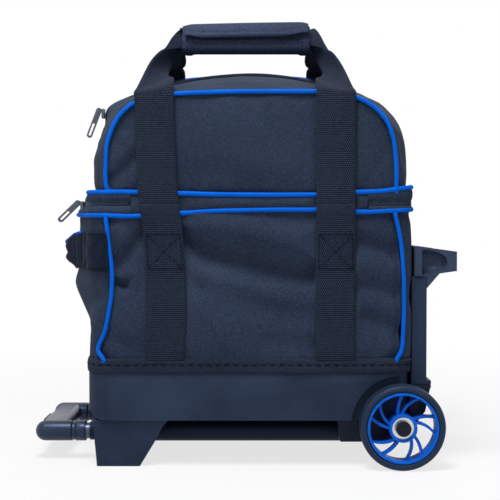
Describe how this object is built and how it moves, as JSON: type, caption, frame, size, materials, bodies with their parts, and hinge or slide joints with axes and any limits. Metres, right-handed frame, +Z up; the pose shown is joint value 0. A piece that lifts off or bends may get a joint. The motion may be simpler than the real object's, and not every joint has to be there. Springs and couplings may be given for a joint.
{
  "type": "wheeled single-ball bowling bag",
  "caption": "Wheeled bag for one bowling ball: moulded base with pull handle and wheels, ball compartment, and a shoe compartment as its hinged lid.",
  "frame": {"origin": "centre of the bounding box at floor level", "axes": "+X from the pull grip towards the wheels, +Y from front to back, +Z up"},
  "size_m": [0.508, 0.288, 0.546],
  "materials": {
    "mould": "textured black-blue moulding",
    "grip": "satin moulding",
    "tube_dark": "black powder coat",
    "tube_steel": "satin anodised",
    "fastener": "zinc plated",
    "nut": "black oxide",
    "tyre": "matt polyurethane",
    "rim": "semi-gloss moulded",
    "bearing": "polished",
    "fabric": "coated polyester weave",
    "webbing": "woven polypropylene",
    "piping": "coated cord",
    "binding": "stitched rubberised strip",
    "zip_metal": "gunmetal lacquer",
    "board": "matt sheet",
    "foam": "closed-cell foam"
  },
  "bodies": {
    "chassis": {"base_tray": "mould", "stand_foot": "mould", "axle_housing": "mould", "spine_panel": "mould", "parking_foot_front": "mould", "parking_foot_rear": "mould", "base_screws": "fastener", "spine_screws": "fastener", "axle_rod": "fastener", "axle_spacers": "fastener", "axle_nuts": "nut", "outer_tube_front": "tube_dark", "outer_tube_rear": "tube_dark", "outer_collars": "grip", "binding_strip": "binding", "front_panel": "fabric", "back_panel": "fabric", "left_gusset": "fabric", "right_gusset": "fabric", "body_piping": "piping", "zip_band_lower": "fabric", "band_piping_lower": "piping", "base_board": "board", "ball_cup": "foam", "sewn_straps_front": "webbing", "sewn_straps_rear": "webbing", "side_handle_tabs": "webbing", "side_handle_band": "webbing", "mid_slider_front": "zip_metal", "mid_slider_rear": "zip_metal"},
    "mid_stage": {"mid_tubes": "tube_steel", "mid_collars": "grip"},
    "pull_handle": {"inner_tubes": "tube_steel", "inner_end_plugs": "grip", "pull_grip": "grip"},
    "release": {"release_button": "grip", "lock_rods": "fastener"},
    "front_wheel": {"tyre_front": "tyre", "rim_front": "rim", "bearing_front": "bearing"},
    "rear_wheel": {"tyre_rear": "tyre", "rim_rear": "rim", "bearing_rear": "bearing"},
    "lid": {"zip_band_upper": "fabric", "band_piping_upper": "piping", "lid_floor": "board", "lid_front_panel": "fabric", "lid_back_panel": "fabric", "lid_gusset": "fabric", "lid_piping": "piping", "top_zip": "webbing", "top_slider": "zip_metal"},
    "top_zip_pull": {"top_pull": "zip_metal"},
    "front_zip_pull": {"mid_pull_front": "zip_metal"},
    "rear_zip_pull": {"mid_pull_rear": "zip_metal"},
    "front_loop": {"front_loop_webbing": "webbing", "handle_wrap": "webbing"},
    "flap": {"wrap_flap": "webbing"},
    "rear_loop": {"rear_loop_webbing": "webbing"}
  },
  "joints": [
    {"name": "front_wheel_spin", "type": "hinge", "parent": "chassis", "child": "front_wheel", "pos_m": [0.1865, -0.128, 0.05], "axis": [0, 1, 0], "continuous": true},
    {"name": "rear_wheel_spin", "type": "hinge", "parent": "chassis", "child": "rear_wheel", "pos_m": [0.1865, 0.128, 0.05], "axis": [0, 1, 0], "continuous": true},
    {"name": "mid_stage_slide", "type": "slide", "parent": "chassis", "child": "mid_stage", "axis": [-1, 0, 0], "range_m": [0, 0.28]},
    {"name": "grip_slide", "type": "slide", "parent": "mid_stage", "child": "pull_handle", "axis": [-1, 0, 0], "range_m": [0, 0.28]},
    {"name": "button_press", "type": "slide", "parent": "pull_handle", "child": "release", "axis": [1, 0, 0], "range_m": [0, 0.004], "stiffness_N_per_m": 600, "springref_m": -0.002},
    {"name": "lid_hinge", "type": "hinge", "parent": "chassis", "child": "lid", "pos_m": [0, -0.1225, 0.31115], "axis": [1, 0, 0], "range_deg": [0, 100]},
    {"name": "rear_loop_hinge", "type": "hinge", "parent": "chassis", "child": "rear_loop", "pos_m": [0, 0.1225, 0.31115], "axis": [-1, 0, 0], "range_deg": [0, 160]},
    {"name": "front_loop_hinge", "type": "hinge", "parent": "lid", "child": "front_loop", "pos_m": [0, -0.1225, 0.31115], "axis": [1, 0, 0], "range_deg": [0, 75]},
    {"name": "wrap_flap_hinge", "type": "hinge", "parent": "front_loop", "child": "flap", "pos_m": [0, 0.018, 0.5433], "axis": [-1, 0, 0], "range_deg": [0, 100]},
    {"name": "front_zip_pull_hinge", "type": "hinge", "parent": "chassis", "child": "front_zip_pull", "pos_m": [-0.20383, -0.052, 0.313], "axis": [0, 1, 0], "range_deg": [0, 110]},
    {"name": "rear_zip_pull_hinge", "type": "hinge", "parent": "chassis", "child": "rear_zip_pull", "pos_m": [-0.20649, -0.034, 0.313], "axis": [0, 1, 0], "range_deg": [0, 110]},
    {"name": "top_zip_pull_hinge", "type": "hinge", "parent": "lid", "child": "top_zip_pull", "pos_m": [-0.18368, -0.006, 0.431], "axis": [0, 1, 0], "range_deg": [0, 120]}
  ],
  "couplings": [
    {"joint": "rear_loop_hinge", "follows": "lid_hinge", "ratio": 1.6}
  ]
}
